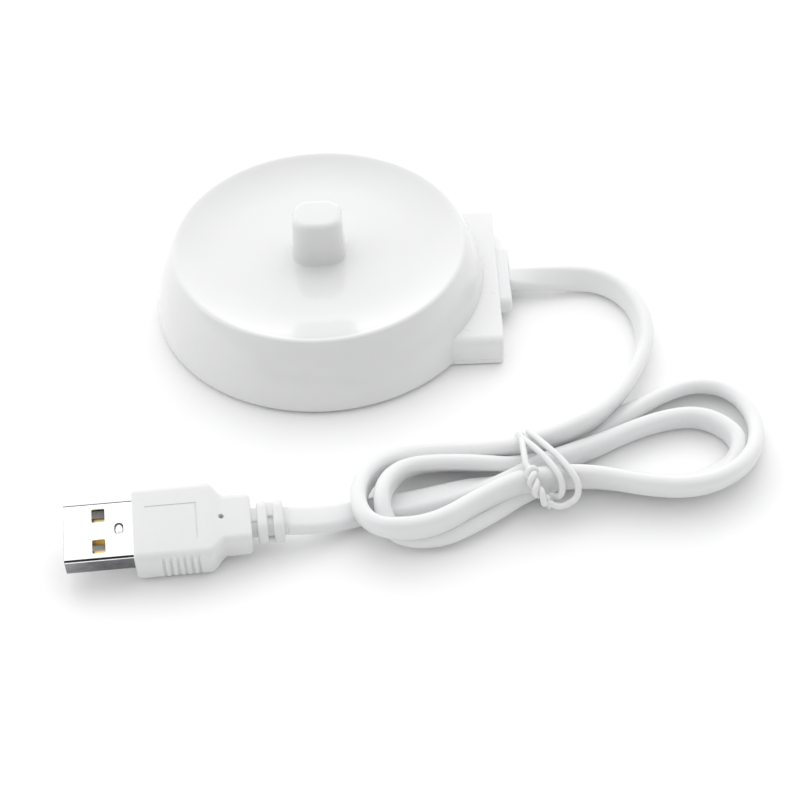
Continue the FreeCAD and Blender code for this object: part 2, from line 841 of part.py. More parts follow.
def make_tie():
    """Band round the waist of the hank, at its outer size."""
    body = new_body("cable_tie")
    section = sketch_on(body, "YZ_Plane", "tie_section", "waist_x - tie_half_width")
    near, far = "waist_near - tie_thickness", "waist_far + tie_thickness"
    rectangle(section, near, "0", far, "waist_top + tie_thickness")
    rectangle(section, "waist_near", "tie_thickness", "waist_far", "waist_top")
    extrude(body, "Pad", section, "2*tie_half_width")


# Plug: built along its own axis from its tip, then laid on the floor

PLUG_PLACE = Placement(
    Vector(number("plug_x"), number("plug_y"), number("plug_z")),
    Rotation(number("plug_yaw"), number("plug_pitch"), number("plug_roll")),
)


def plug_body(name):
    body = new_body(name)
    body.Placement = PLUG_PLACE
    return body


def make_plug_shell():
    """Rectangular metal tube with two spring windows through each broad side."""
    body = plug_body("plug_shell")
    section = sketch_on(body, "YZ_Plane", "shell_section")
    rounded_rectangle(section, "shell_half_width", "shell_half_height", "shell_corner")
    rounded_rectangle(section, "shell_inner_half_width", "shell_inner_half_height", "shell_inner_corner")
    extrude(body, "Pad", section, "shell_end")
    windows = sketch_on(body, "XY_Plane", "spring_windows", "shell_half_height + 1")
    for side in ("2", "-4.4"):
        rectangle(windows, "5.1", side, "7.5", side + " + 2.4")
    extrude(body, "Pocket", windows, "2*shell_half_height + 2")


def make_plug_tongue():
    body = plug_body("plug_tongue")
    section = sketch_on(body, "YZ_Plane", "tongue_section", "1")
    low = "-1*shell_inner_half_height"
    side = "shell_inner_half_width - 0.1"
    rectangle(section, "-1*shell_inner_half_width + 0.1", low, side, low + " + tongue")
    extrude(body, "Pad", section, "shell_end - 1")


def make_plug_contacts():
    strips = []
    for k, start in enumerate(("1.4", "2.4", "2.4", "1.4")):
        strip = doc.addObject("Part::Box", "contact_%d" % k)
        bind(strip, "Length", "shell_end - " + start)
        bind(strip, "Width", "contact_width")
        bind(strip, "Height", "0.2")
        y = (k - 1.5) * number("contact_pitch") - number("contact_width") / 2
        z = number("tongue - shell_inner_half_height")
        strip.Placement = PLUG_PLACE.multiply(Placement(Vector(number(start), y, z), Rotation()))
        strips.append(strip)
    group("plug_contacts", strips)


def make_plug_mould():
    """Inner moulding behind the metal shell, round the soldered ends of the cores."""
    body = plug_body("plug_inner_mould")
    section = sketch_on(body, "YZ_Plane", "mould_section", "shell_end")
    rounded_rectangle(section, "mould_half_width", "mould_half_height", "0.5")
    extrude(body, "Pad", section, "mould_end - shell_end")


def make_plug_overmould():
    """Grip, taper and neck, then the ringed strain relief, in one soft moulding round the shell."""
    body = plug_body("plug_overmould")
    grip = sketch_on(body, "YZ_Plane", "grip_section", "grip_start")
    rounded_rectangle(grip, "grip_half_width", "grip_half_height", "grip_corner")
    extrude(body, "Pad", grip, "grip_end - grip_start")
    wide = sketch_on(body, "YZ_Plane", "taper_start", "grip_end")
    rounded_rectangle(wide, "grip_half_width", "grip_half_height", "grip_corner")
    narrow = sketch_on(body, "YZ_Plane", "taper_end", "neck_start")
    rounded_rectangle(narrow, "neck_half_width", "neck_half_height", "neck_corner")
    taper = feature(body, "AdditiveLoft", wide, Ruled=True)
    taper.Sections = [narrow]
    doc.recompute()
    neck = sketch_on(body, "YZ_Plane", "neck_section", "neck_start")
    rounded_rectangle(neck, "neck_half_width", "neck_half_height", "neck_corner")
    extrude(body, "Pad", neck, "neck_end - neck_start")
    core = sketch_on(body, "YZ_Plane", "relief_core", "neck_end")
    circle(core, "0", "0", "relief_core_radius")
    extrude(body, "Pad", core, "relief_end - neck_end")
    for k in range(2):
        start = "relief_end - ring_thickness - %d*ring_pitch" % k
        ring = sketch_on(body, "YZ_Plane", "relief_ring_%d" % k, start)
        rounded_rectangle(ring, "ring_half_width", "ring_half_height", "ring_corner")
        extrude(body, "Pad", ring, "ring_thickness")
    seat = sketch_on(body, "YZ_Plane", "shell_seat", "shell_end")
    rounded_rectangle(seat, "shell_half_width", "shell_half_height", "shell_corner")
    extrude(body, "Pocket", seat, "shell_end - grip_start + 1")
    cavity = sketch_on(body, "YZ_Plane", "mould_cavity", "mould_end")
    rounded_rectangle(cavity, "mould_half_width", "mould_half_height", "0.5")
    extrude(body, "Pocket", cavity, "mould_end - shell_end")


make_top_shell()
make_bottom_cover()
make_rear_block()
make_block_base()
make_grommet()
make_seal()
make_feet_and_screws()
make_ferrite_core()
make_bobbin()
make_coil()
make_board()
make_board_screws()
make_chip()
make_transistors()
make_capacitors()
make_inductor()
make_resistors()
make_header()
make_clamp()
make_wires()
make_cable_inlet()
tube("cable_lead", LEAD_ROUTE, number("cable_radius"))
make_hank()
make_tie()
tube("plug_lead", PLUG_LEAD_ROUTE, number("cable_radius"))
make_plug_shell()
make_plug_tongue()
make_plug_contacts()
make_plug_mould()
make_plug_overmould()

doc.recompute()
for thing in doc.Objects:
    if "Invalid" in thing.State or "Error" in thing.State:
        raise RuntimeError("%s is %s" % (thing.Name, thing.State))
os.makedirs("parts", exist_ok=True)
for name, thing in nodes.items():
    if thing.Shape.isNull() or not thing.Shape.isValid():
        raise RuntimeError(name + " has no valid shape")
for name, thing in nodes.items():
    thing.Shape.exportStep("parts/%s.step" % name)
    box = thing.Shape.BoundBox
    spans = (box.XMin, box.XMax, box.YMin, box.YMax, box.ZMin, box.ZMax)
    print("%-20s %d solids, %8.1f mm3" % (name, len(thing.Shape.Solids), thing.Shape.Volume))
    print("    x %.1f..%.1f y %.1f..%.1f z %.2f..%.2f" % spans)
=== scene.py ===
"""Looks of a toothbrush charging base: a round body with a keyed post, a side block and a tied flat lead."""
import json
import math

import bmesh
import bpy
from mathutils import Matrix, Vector


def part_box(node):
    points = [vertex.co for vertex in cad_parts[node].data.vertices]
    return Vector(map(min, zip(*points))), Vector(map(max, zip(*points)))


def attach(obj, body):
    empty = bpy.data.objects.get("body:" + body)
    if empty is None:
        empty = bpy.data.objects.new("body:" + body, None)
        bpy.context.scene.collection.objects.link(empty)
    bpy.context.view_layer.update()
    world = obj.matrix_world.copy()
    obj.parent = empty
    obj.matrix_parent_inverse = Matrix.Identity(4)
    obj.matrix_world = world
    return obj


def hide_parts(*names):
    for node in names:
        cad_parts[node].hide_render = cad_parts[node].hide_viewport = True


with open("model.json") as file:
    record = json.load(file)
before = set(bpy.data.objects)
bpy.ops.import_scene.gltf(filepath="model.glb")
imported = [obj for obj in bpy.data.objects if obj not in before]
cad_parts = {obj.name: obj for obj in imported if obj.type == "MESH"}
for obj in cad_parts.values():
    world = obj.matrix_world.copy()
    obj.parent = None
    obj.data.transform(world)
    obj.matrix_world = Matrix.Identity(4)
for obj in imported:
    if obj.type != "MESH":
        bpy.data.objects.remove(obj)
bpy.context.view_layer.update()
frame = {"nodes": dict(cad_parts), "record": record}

MM = 0.001

# Where things are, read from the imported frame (mm)
post_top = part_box("top_shell")[1].z / MM
widest_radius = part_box("top_shell")[1].y / MM
block_low, block_high = (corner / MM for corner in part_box("rear_block"))
plate_low, plate_high = (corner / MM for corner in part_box("block_base_plate"))
boss_low, boss_high = (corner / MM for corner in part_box("cable_grommet"))
plug_tip = next(m for m in frame["record"]["mounts"] if m["name"] == "usb_plug")["pos_m"]

# Driving sizes of the looks (mm and degrees)
CABLE_WIDTH = 5.4
CABLE_THICKNESS = 3.0
TIE_RADIUS = 0.62
PLUG_TURN = (4.5, 1.0, 12.5)
DISH_FLOOR = 13.4
DISH_FLAT_RADIUS = 19.0
DISH_EDGE = (28.9, 15.6)
RIM_CREST = (29.3, 15.7)
RIM_SHOULDER = (30.1, 15.2)
RIM_ROUND = 0.9
WALL_ROUND = 29.0
WIDEST_HEIGHT = 1.4
FOOT_RADIUS = 33.0
POST_FOOT = (5.45, 5.3, 4.0)
POST_TOP = (5.0, 4.6, 3.4)
POST_EDGE = 1.4
SHELL_TURN_POINTS = 240


# ---------------------------------------------------------------- mesh tools

def piece(name, verts, faces, material, slot, sharp=None):
    """A mesh object from points in mm, which rides on the body and has one material."""
    mesh = bpy.data.meshes.new(name)
    mesh.from_pydata([Vector(v) * MM for v in verts], [], faces)
    mesh.validate()
    tidy = bmesh.new()
    tidy.from_mesh(mesh)
    bmesh.ops.recalc_face_normals(tidy, faces=tidy.faces)
    tidy.to_mesh(mesh)
    tidy.free()
    made = bpy.data.objects.new(name, mesh)
    bpy.context.collection.objects.link(made)
    finish_piece(made, material, sharp)
    return made


def finish_piece(made, material, sharp=None):
    """Smooth shading (flat past the sharp angle), the material and the body."""
    mesh = made.data
    mesh.polygons.foreach_set("use_smooth", [True] * len(mesh.polygons))
    if sharp is not None:
        mesh.set_sharp_from_angle(angle=math.radians(sharp))
    mesh.materials.clear()
    mesh.materials.append(material)
    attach(made, "root")


def loft(rings, first_cap=True, last_cap=True, closed=False):
    """Points and faces of a skin over rings that all have the same number of points."""
    count = len(rings[0])
    verts = [point for ring in rings for point in ring]
    faces = []
    bands = len(rings) if closed else len(rings) - 1
    for band in range(bands):
        here = band * count
        there = (band + 1) % len(rings) * count
        for k in range(count):
            after = (k + 1) % count
            faces.append((here + k, here + after, there + after, there + k))
    if first_cap and not closed:
        faces.append(tuple(reversed(range(count))))
    if last_cap and not closed:
        faces.append(tuple(range((len(rings) - 1) * count, len(rings) * count)))
    return verts, faces


def rounded_ring(half_u, half_v, corner, steps=8):
    """Corner-by-corner outline of a rounded rectangle, as (u, v) pairs."""
    corner = min(corner, half_u, half_v)
    ring = []
    for quarter, (su, sv) in enumerate(((1, 1), (-1, 1), (-1, -1), (1, -1))):
        for step in range(steps + 1):
            angle = math.radians(90) * (quarter + step / steps)
            ring.append((
                su * (half_u - corner) + corner * math.cos(angle),
                sv * (half_v - corner) + corner * math.sin(angle),
            ))
    return ring


def arc_between(start, end, radius, steps, inside=1):
    """Points of the short arc of that radius from start to end; inside picks the side it bulges to."""
    start, end = Vector(start), Vector(end)
    chord = end - start
    middle = (start + end) / 2
    rise = math.sqrt(max(radius ** 2 - (chord.length / 2) ** 2, 0))
    normal = Vector((-chord.y, chord.x)).normalized() * inside
    centre = middle + normal * rise
    first = math.atan2(start.y - centre.y, start.x - centre.x)
    last = math.atan2(end.y - centre.y, end.x - centre.x)
    sweep = (last - first + math.pi) % (2 * math.pi) - math.pi
    return [
        (centre.x + radius * math.cos(first + sweep * k / steps),
         centre.y + radius * math.sin(first + sweep * k / steps))
        for k in range(steps + 1)
    ]


def spline(name, points, resolution):
    """Points along the smooth line of one open spline, whose control points these are."""
    data = bpy.data.curves.new(name, "CURVE")
    data.dimensions = "3D"
    data.resolution_u = resolution
    line = data.splines.new("NURBS")
    line.points.add(len(points) - 1)
    for control, point in zip(line.points, points):
        control.co = (*point, 1)
    line.order_u = 3
    line.use_endpoint_u = True
    holder = bpy.data.objects.new(name, data)
    bpy.context.collection.objects.link(holder)
    mesh = bpy.data.meshes.new_from_object(holder)
    followed = [v.co.copy() for v in mesh.vertices]
    bpy.data.objects.remove(holder)
    bpy.data.curves.remove(data)
    bpy.data.meshes.remove(mesh)
    return followed


# ---------------------------------------------------------------- materials

def nodes_of(material):
    tree = material.node_tree
    return tree, tree.nodes["Principled BSDF"]


def noise(tree, scale, detail, low, high, coordinates="Object"):
    """A noise pattern squeezed between two values."""
    place = tree.nodes.new("ShaderNodeTexCoord")
    pattern = tree.nodes.new("ShaderNodeTexNoise")
    pattern.inputs["Scale"].default_value = scale
    pattern.inputs["Detail"].default_value = detail
    tree.links.new(place.outputs[coordinates], pattern.inputs["Vector"])
    spread = tree.nodes.new("ShaderNodeMapRange")
    spread.inputs["From Min"].default_value = 0.3
    spread.inputs["From Max"].default_value = 0.7
    spread.inputs["To Min"].default_value = low
    spread.inputs["To Max"].default_value = high
    tree.links.new(pattern.outputs["Fac"], spread.inputs["Value"])
    return spread.outputs["Result"]


def tint(tree, factor, first, second):
    """A colour between two colours, by a pattern."""
    ramp = tree.nodes.new("ShaderNodeValToRGB")
    ramp.color_ramp.elements[0].color = (*first, 1)
    ramp.color_ramp.elements[1].color = (*second, 1)
    tree.links.new(factor, ramp.inputs["Fac"])
    return ramp.outputs["Color"]


def bump(tree, shader, height, strength, distance):
    lifted = tree.nodes.new("ShaderNodeBump")
    lifted.inputs["Strength"].default_value = strength
    lifted.inputs["Distance"].default_value = distance
    tree.links.new(height, lifted.inputs["Height"])
    tree.links.new(lifted.outputs["Normal"], shader.inputs["Normal"])


def plastic(name, light, dark, rough, grain=900, grain_depth=0.00001, coat=0.0, patch=60, subsurface=0.0):
    """Moulded plastic or rubber: slow colour drift, uneven polish and fine mould grain."""
    material = bpy.data.materials.new(name)
    material.use_nodes = True
    tree, shader = nodes_of(material)
    drift = noise(tree, patch, 3, 0, 1)
    tree.links.new(tint(tree, drift, dark, light), shader.inputs["Base Color"])
    tree.links.new(noise(tree, patch * 4, 5, rough[0], rough[1]), shader.inputs["Roughness"])
    bump(tree, shader, noise(tree, grain, 4, 0, 1), 0.35, grain_depth)
    shader.inputs["IOR"].default_value = 1.47
    if coat:
        shader.inputs["Coat Weight"].default_value = coat
        shader.inputs["Coat Roughness"].default_value = 0.08
    if subsurface:
        shader.inputs["Subsurface Weight"].default_value = subsurface
        shader.inputs["Subsurface Radius"].default_value = (0.0012, 0.001, 0.0009)
    return material


def metal(name, light, dark, rough, brush=(60, 60, 2400), depth=0.000004):
    """Plated or brushed metal with fine drawn lines."""
    material = bpy.data.materials.new(name)
    material.use_nodes = True
    tree, shader = nodes_of(material)
    shader.inputs["Metallic"].default_value = 1.0
    place = tree.nodes.new("ShaderNodeTexCoord")
    stretch = tree.nodes.new("ShaderNodeMapping")
    stretch.inputs["Scale"].default_value = brush
    lines = tree.nodes.new("ShaderNodeTexNoise")
    lines.inputs["Scale"].default_value = 1.0
    lines.inputs["Detail"].default_value = 6
    tree.links.new(place.outputs["Object"], stretch.inputs["Vector"])
    tree.links.new(stretch.outputs["Vector"], lines.inputs["Vector"])
    spread = tree.nodes.new("ShaderNodeMapRange")
    spread.inputs["To Min"].default_value = rough[0]
    spread.inputs["To Max"].default_value = rough[1]
    tree.links.new(lines.outputs["Fac"], spread.inputs["Value"])
    tree.links.new(spread.outputs["Result"], shader.inputs["Roughness"])
    tree.links.new(tint(tree, noise(tree, 300, 4, 0, 1), dark, light), shader.inputs["Base Color"])
    bump(tree, shader, lines.outputs["Fac"], 0.3, depth)
    return material


shell_white = plastic(
    "shell_white", (0.73, 0.732, 0.737), (0.715, 0.717, 0.722), (0.13, 0.18),
    grain=5000, grain_depth=0.000003, coat=0.5,
)
block_white = plastic(
    "block_white", (0.79, 0.792, 0.797), (0.775, 0.777, 0.782), (0.27, 0.31),
    grain=5000, grain_depth=0.000004,
)
cable_white = plastic(
    "cable_white", (0.785, 0.788, 0.793), (0.76, 0.763, 0.768), (0.36, 0.48),
    grain=2600, grain_depth=0.00002, subsurface=0.08,
)
plug_white = plastic(
    "plug_white", (0.755, 0.758, 0.763), (0.735, 0.738, 0.743), (0.34, 0.46),
    grain=2600, grain_depth=0.00002, subsurface=0.06,
)
tie_white = plastic(
    "tie_white", (0.78, 0.782, 0.786), (0.75, 0.752, 0.756), (0.32, 0.45),
    grain=3000, coat=0.15,
)
plug_steel = metal("plug_steel", (0.95, 0.955, 0.965), (0.89, 0.895, 0.905), (0.14, 0.26))
# Darker and near-black steel for the plug shell's narrow sides, their rounded corners and the mouth's lip:
# painted dark reflection and painted shade, not a metal of another colour.
side_painted_reflection = metal("side_painted_reflection", (0.29, 0.29, 0.30), (0.17, 0.17, 0.18), (0.2, 0.34))
edge_painted_shade = metal("edge_painted_shade", (0.05, 0.05, 0.055), (0.03, 0.03, 0.034), (0.25, 0.36))
insulator = plastic("insulator", (0.80, 0.80, 0.79), (0.74, 0.74, 0.73), (0.4, 0.55))
contact_gold = metal("contact_gold", (0.88, 0.66, 0.28), (0.80, 0.58, 0.22), (0.18, 0.3))
pad_grey = plastic(
    "pad_grey", (0.62, 0.62, 0.61), (0.54, 0.54, 0.53), (0.6, 0.75),
    grain=1400, grain_depth=0.00005,
)
seal_rubber = plastic("seal_rubber", (0.07, 0.07, 0.075), (0.05, 0.05, 0.055), (0.55, 0.7))
screw_steel = metal("screw_steel", (0.62, 0.63, 0.65), (0.5, 0.51, 0.53), (0.25, 0.42))
ferrite = plastic(
    "ferrite", (0.06, 0.06, 0.065), (0.035, 0.035, 0.04), (0.45, 0.7),
    grain=1200, grain_depth=0.00005,
)
bobbin = plastic("bobbin", (0.03, 0.03, 0.032), (0.022, 0.022, 0.024), (0.4, 0.55))
board_green = plastic("board_green", (0.03, 0.16, 0.07), (0.02, 0.11, 0.05), (0.25, 0.4), patch=200)
component_black = plastic("component_black", (0.03, 0.03, 0.032), (0.02, 0.02, 0.022), (0.4, 0.6), grain=2200)
film_red = plastic("film_red", (0.38, 0.05, 0.03), (0.3, 0.035, 0.02), (0.2, 0.35), coat=0.3)
can_aluminium = metal("can_aluminium", (0.82, 0.83, 0.84), (0.7, 0.71, 0.72), (0.2, 0.35))
copper = metal("copper", (0.78, 0.36, 0.18), (0.62, 0.26, 0.12), (0.22, 0.38), brush=(900, 900, 4000))
wire_red = plastic("wire_red", (0.5, 0.03, 0.025), (0.42, 0.02, 0.02), (0.35, 0.5))
wire_black = plastic("wire_black", (0.03, 0.03, 0.03), (0.02, 0.02, 0.02), (0.35, 0.5))

MATERIALS = {
    "shell_white": shell_white, "block_white": block_white, "cable_white": cable_white,
    "plug_white": plug_white, "tie_white": tie_white, "plug_steel": plug_steel,
    "insulator": insulator, "contact_gold": contact_gold, "pad_grey": pad_grey,
    "seal_rubber": seal_rubber, "screw_steel": screw_steel, "ferrite": ferrite,
    "bobbin": bobbin, "board_green": board_green, "component_black": component_black,
    "film_red": film_red, "can_aluminium": can_aluminium, "copper": copper,
    "wire_red": wire_red, "wire_black": wire_black,
}


def dress_cad_nodes():
    """Every carried-over CAD node gets the procedural material of its slot."""
    slots = {part["node"]: part["material_slot"] for part in frame["record"]["subparts"]}
    for name, node in frame["nodes"].items():
        node.data.materials.clear()
        node.data.materials.append(MATERIALS[slots[name]])


# ---------------------------------------------------------------- round body

def reach(angle, half_x, half_y, corner):
    """Distance from the axis to a rounded rectangle's outline, in one direction."""
    c, s = abs(math.cos(angle)), abs(math.sin(angle))
    if c > 0 and half_x * s <= (half_y - corner) * c:
        return half_x / c
    if s > 0 and half_y * c <= (half_x - corner) * s:
        return half_y / s
    cx, cy = half_x - corner, half_y - corner
    along = c * cx + s * cy
    return along + math.sqrt(along ** 2 - cx ** 2 - cy ** 2 + corner ** 2)


def shell_rings():
    """Rings of the upper shell, from the post's top over the dish and wall, round the lip and up inside."""
    angles = [2 * math.pi * k / SHELL_TURN_POINTS for k in range(SHELL_TURN_POINTS)]

    def square(height, half_x, half_y, corner, blend=0.0, radius=0.0):
        ring = []
        for angle in angles:
            out = (1 - blend) * reach(angle, half_x, half_y, corner) + blend * radius
            ring.append((out * math.cos(angle), out * math.sin(angle), height))
        return ring

    def circle(radius, height):
        return square(height, 1, 1, 0.5, 1.0, radius)

    rings = []
    top_x, top_y, top_corner = POST_TOP
    crown = 0.06
    for share in (0.02, 0.3, 0.55, 0.75):
        flat_x, flat_y = top_x - POST_EDGE, top_y - POST_EDGE
        rings.append(square(
            post_top - crown * share ** 2, flat_x * share, flat_y * share, (top_corner - POST_EDGE) * share,
        ))
    edge_steps = 10
    for step in range(edge_steps + 1):
        turn = math.radians(90) * step / edge_steps
        inset = POST_EDGE * (1 - math.sin(turn))
        drop = crown * 0.75 + (POST_EDGE - crown * 0.75) * (1 - math.cos(turn))
        rings.append(square(post_top - drop, top_x - inset, top_y - inset, max(top_corner - inset, 0.3)))
    side_top = post_top - POST_EDGE
    fillet = 0.55
    side_steps = 8
    for step in range(1, side_steps + 1):
        share = step / side_steps
        height = side_top + (DISH_FLOOR + fillet - side_top) * share
        sizes = [top + (foot - top) * share for top, foot in zip(POST_TOP, POST_FOOT)]
        rings.append(square(height, *sizes))
    foot_x, foot_y, foot_corner = POST_FOOT
    fillet_steps = 5
    for step in range(1, fillet_steps + 1):
        turn = math.radians(90) * step / fillet_steps
        grow = fillet * (1 - math.cos(turn))
        rings.append(square(
            DISH_FLOOR + fillet * (1 - math.sin(turn)), foot_x + grow, foot_y + grow, foot_corner + grow,
        ))
    round_from = 9.0
    for share in (0.25, 0.5, 0.75):
        rings.append(square(
            DISH_FLOOR, foot_x + fillet, foot_y + fillet, foot_corner + fillet, share, round_from,
        ))
    for radius in (round_from, 12.0, 15.0, 17.5):
        rings.append(circle(radius, DISH_FLOOR))
    dish_round = ((DISH_EDGE[0] - DISH_FLAT_RADIUS) ** 2 + (DISH_EDGE[1] - DISH_FLOOR) ** 2) \
        / (2 * (DISH_EDGE[1] - DISH_FLOOR))
    dish_steps = 14
    for step in range(dish_steps + 1):
        radius = DISH_FLAT_RADIUS + (DISH_EDGE[0] - DISH_FLAT_RADIUS) * step / dish_steps
        rise = dish_round - math.sqrt(dish_round ** 2 - (radius - DISH_FLAT_RADIUS) ** 2)
        rings.append(circle(radius, DISH_FLOOR + rise))
    profile = [RIM_CREST] + arc_between(RIM_CREST, RIM_SHOULDER, RIM_ROUND, 6, -1)[1:]
    profile += arc_between(RIM_SHOULDER, (widest_radius, WIDEST_HEIGHT), WALL_ROUND, 24, -1)[1:]
    profile += arc_between((widest_radius, WIDEST_HEIGHT), (FOOT_RADIUS, 0.0), 1.5, 6, -1)[1:]
    inner_wall = 31.9
    ceiling = 11.6
    bore = 3.4
    bore_end = post_top - 1.4
    profile += [(inner_wall + 0.3, 0.0), (inner_wall, 0.3), (inner_wall - 0.2, 4.0)]
    profile += [(inner_wall - 3.0, ceiling), (16.0, ceiling), (bore + 0.2, ceiling)]
    profile += [(bore, ceiling + 0.2), (bore, bore_end), (0.3, bore_end)]
    rings += [circle(radius, height) for radius, height in profile]
    return rings


def make_shell():
    verts, faces = loft(shell_rings())
    made = piece("charging_body_shell", verts, faces, shell_white, "shell_white", sharp=50)
    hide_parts("top_shell")
    return made


# ---------------------------------------------------------------- side block

def block_section(inset, low, high, top_round, bottom_round, steps=8, splits=48):
    """Outline across y and z of the block, its ends rounded above and below, as (y, z) pairs."""
    y0, y1 = low.y + inset, high.y - inset
    z0, z1 = low.z + inset, high.z - inset
    top, bottom = max(top_round - inset, 0.02), max(bottom_round - inset, 0.02)
    corners = (
        (y1 - bottom, z0 + bottom, bottom, -90), (y1 - top, z1 - top, top, 0),
        (y0 + top, z1 - top, top, 90), (y0 + bottom, z0 + bottom, bottom, 180),
    )
    ring = []
    for k, (y, z, radius, start) in enumerate(corners):
        for step in range(steps + 1):
            turn = math.radians(start + 90 * step / steps)
            ring.append((y + radius * math.cos(turn), z + radius * math.sin(turn)))
        if k in (1, 3):
            there = corners[(k + 1) % 4][0]
            level = ring[-1][1]
            for split in range(1, splits):
                ring.append((y + (there - y) * split / splits, level))
    return ring


def block_loft(name, low, high, top_round, bottom_round, end_round):
    """Block that grows out of the round wall and ends flat, its end's edge a little rounded."""
    wall = 32.8
    section = block_section(0.0, low, high, top_round, bottom_round)
    first = [(math.sqrt(wall ** 2 - y ** 2), y, z) for y, z in section]
    rings = [first]
    steps = 5
    for step in range(steps + 1):
        turn = math.radians(90) * step / steps
        inset = end_round * (1 - math.cos(turn))
        x = high.x - end_round * (1 - math.sin(turn))
        section = block_section(inset, low, high, top_round, bottom_round)
        rings.append([(x, y, z) for y, z in section])
    verts, faces = loft(rings)
    return piece(name, verts, faces, block_white, "block_white", sharp=32)


def make_block():
    seam = 0.05
    cover = block_loft(
        "side_block_cover", Vector((0, block_low.y, block_low.z + seam)), block_high, 1.9, 0.08, 0.55,
    )
    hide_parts("rear_block")
    plate = block_loft(
        "side_block_plate", Vector((0, plate_low.y + 0.06, plate_low.z)),
        Vector((plate_high.x - 0.06, plate_high.y - 0.06, plate_high.z)), 0.08, 0.5, 0.45,
    )
    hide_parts("block_base_plate")


def make_boss():
    """Rounded lozenge that the cable leaves through, with a shallow slot round the cable."""
    middle = (boss_low + boss_high) / 2
    half_y = (boss_high.y - boss_low.y) / 2 + 0.1
    half_z = (boss_high.z - boss_low.z) / 2
    past_cad = 0.35
    front = boss_high.x + past_cad
    edge = 0.7
    edge_steps = 6
    sections = [(boss_low.x + 0.4, 0.0)]
    for step in range(edge_steps + 1):
        turn = math.radians(90) * step / edge_steps
        sections.append((front - edge + edge * math.sin(turn), edge * (1 - math.cos(turn))))
    rings = []
    for x, inset in sections:
        ring = rounded_ring(half_y - inset, half_z - inset, half_z - inset, 10)
        rings.append([(x, middle.y + u, middle.z + v) for u, v in ring])
    face_z = half_z - edge
    for x, grow in ((front, 0.1), (front - 0.1, 0.0), (front - 1.0, 0.0)):
        slot_z = min(CABLE_THICKNESS / 2, face_z + 0.5) + grow
        ring = rounded_ring(CABLE_WIDTH / 2 + 0.08 + grow, slot_z, slot_z, 10)
        rings.append([(x, middle.y + u, middle.z + v) for u, v in ring])
    verts, faces = loft(rings)
    made = piece("cable_boss", verts, faces, cable_white, "cable_white", sharp=60)
    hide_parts("cable_grommet")
    return made
